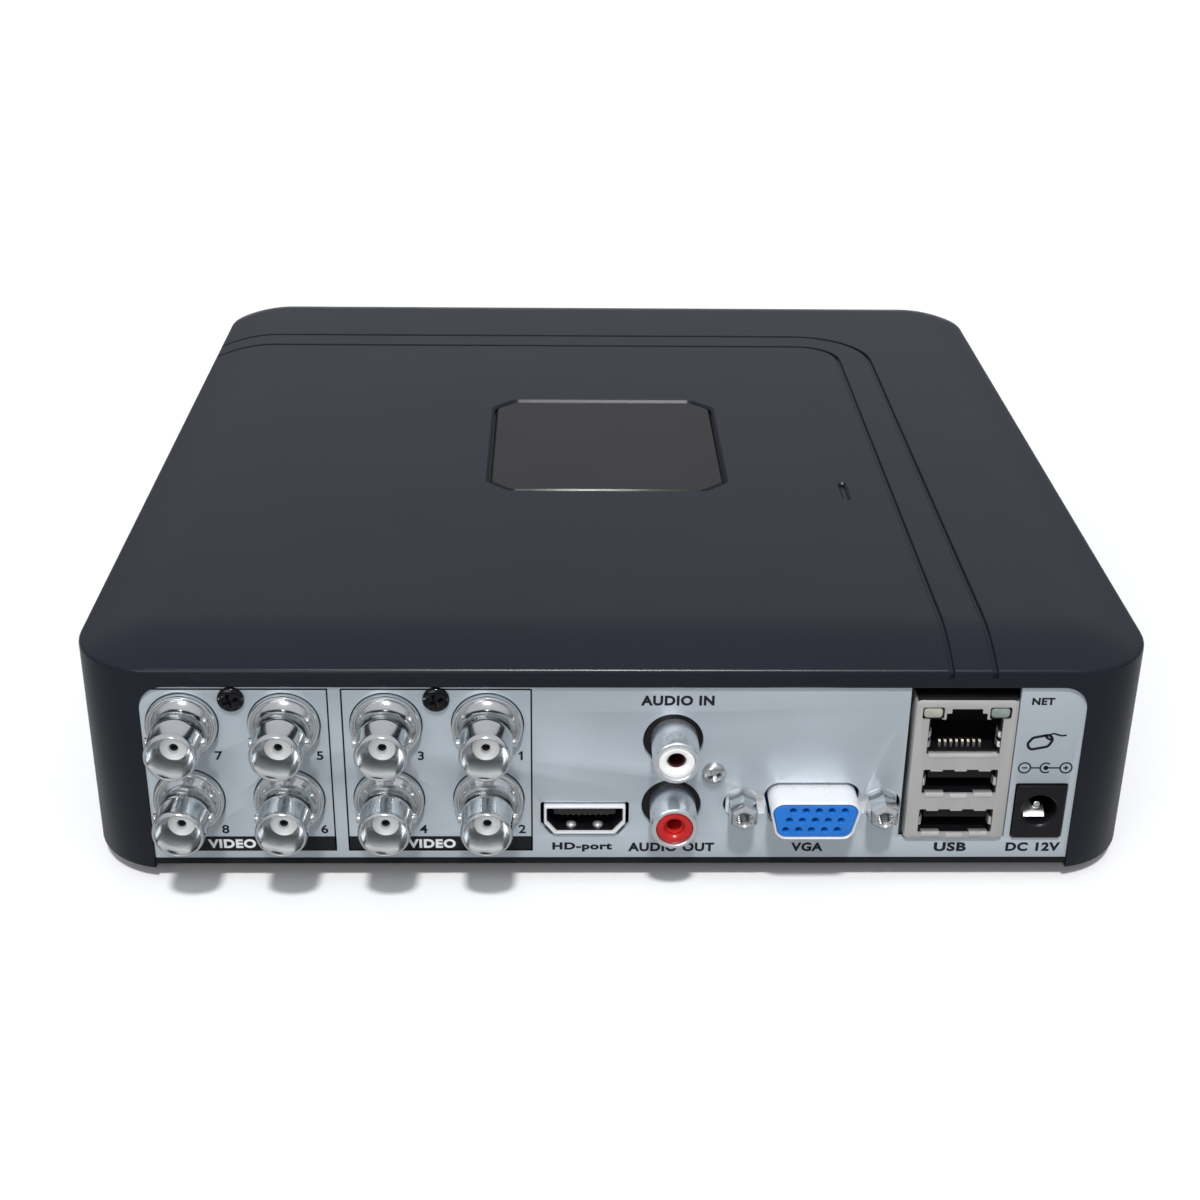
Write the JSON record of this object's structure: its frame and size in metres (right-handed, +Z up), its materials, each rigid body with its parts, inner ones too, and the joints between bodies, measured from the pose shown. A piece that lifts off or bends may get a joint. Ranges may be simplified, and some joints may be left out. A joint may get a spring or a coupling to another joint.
{
  "type": "video recorder",
  "caption": "Flat black digital video recorder with a crowned plastic cover, a silver rear panel of video, audio, monitor, network, USB and power sockets, and a hard disk inside.",
  "frame": {"origin": "on the ground under the middle of the whole recorder, video jacks included", "axes": "+Z up; the rear panel with the sockets faces -Y and the front faces +Y; +X is to the right when looking at the rear panel"},
  "size_m": [0.19, 0.211, 0.047],
  "materials": {
    "case_plastic": "fine moulded texture, satin",
    "gloss_trim": "polished",
    "smoked_window": "polished, smoked",
    "tray_paint": "semi-matt black paint",
    "panel_paint": "silver paint, satin",
    "rubber": "matt",
    "black_screw": "black oxide",
    "bright_steel": "zinc plated",
    "board_green": "solder resist",
    "brass_gold": "gold flash",
    "nickel": "nickel plated, bright",
    "white_insulator": "smooth",
    "red_insulator": "smooth",
    "socket_black": "moulded",
    "plated_sheet": "tin plated",
    "socket_blue": "moulded",
    "light_amber": "translucent, unlit",
    "light_green": "translucent, unlit",
    "chip_black": "moulded",
    "black_aluminium": "black anodised",
    "capacitor_sleeve": "shrink sleeve",
    "socket_cream": "moulded",
    "cast_alloy": "die cast",
    "lid_steel": "brushed",
    "platter_mirror": "mirror polished",
    "indicator_clear": "clear, unlit",
    "sensor_dark": "infrared filter"
  },
  "bodies": {
    "case": {"top_cover": "case_plastic", "badge_plate": "gloss_trim", "front_window": "smoked_window", "base_tray": "tray_paint", "rear_panel": "panel_paint", "rubber_feet": "rubber", "cover_screws": "black_screw", "video_screws": "black_screw", "audio_screw": "bright_steel", "main_board": "board_green", "board_standoffs": "brass_gold", "board_screws": "bright_steel", "video_jack_1": "nickel", "video_jack_2": "nickel", "video_jack_3": "nickel", "video_jack_4": "nickel", "video_jack_5": "nickel", "video_jack_6": "nickel", "video_jack_7": "nickel", "video_jack_8": "nickel", "video_insulators": "white_insulator", "video_contacts": "brass_gold", "video_housing_left": "socket_black", "video_housing_right": "socket_black", "audio_housing": "socket_black", "audio_in_sleeve": "nickel", "audio_out_sleeve": "nickel", "audio_in_insulator": "white_insulator", "audio_out_insulator": "red_insulator", "hd_port_shell": "plated_sheet", "hd_port_tongue": "socket_black", "vga_shell": "plated_sheet", "vga_insert": "socket_blue", "vga_hex_posts": "nickel", "net_usb_can": "plated_sheet", "net_usb_insert": "socket_black", "net_contacts": "brass_gold", "net_light_left": "light_amber", "net_light_right": "light_green", "dc_jack_body": "socket_black", "dc_jack_pin": "nickel", "main_chip": "chip_black", "heat_sink": "black_aluminium", "memory_chips": "chip_black", "board_capacitors": "capacitor_sleeve", "battery_holder": "socket_black", "backup_battery": "nickel", "buzzer": "socket_black", "drive_power_socket": "socket_cream", "drive_data_socket": "socket_black", "drive_casting": "cast_alloy", "drive_lid": "lid_steel", "drive_circuit_board": "board_green", "drive_socket": "socket_black", "drive_screws": "bright_steel", "indicator_board": "board_green", "indicator_lights": "indicator_clear", "remote_sensor": "sensor_dark"},
    "platter": {"drive_platter": "platter_mirror"},
    "head_arm": {"drive_arm": "cast_alloy"}
  },
  "joints": [
    {"name": "platter_spin", "type": "hinge", "parent": "case", "child": "platter", "pos_m": [-0.023, 0.0428, 0.02065], "axis": [0, 0, 1], "continuous": true},
    {"name": "head_arm_swing", "type": "hinge", "parent": "case", "child": "head_arm", "pos_m": [0.044, 0.052, 0.022], "axis": [0, 0, 1], "range_deg": [0, 35]}
  ]
}
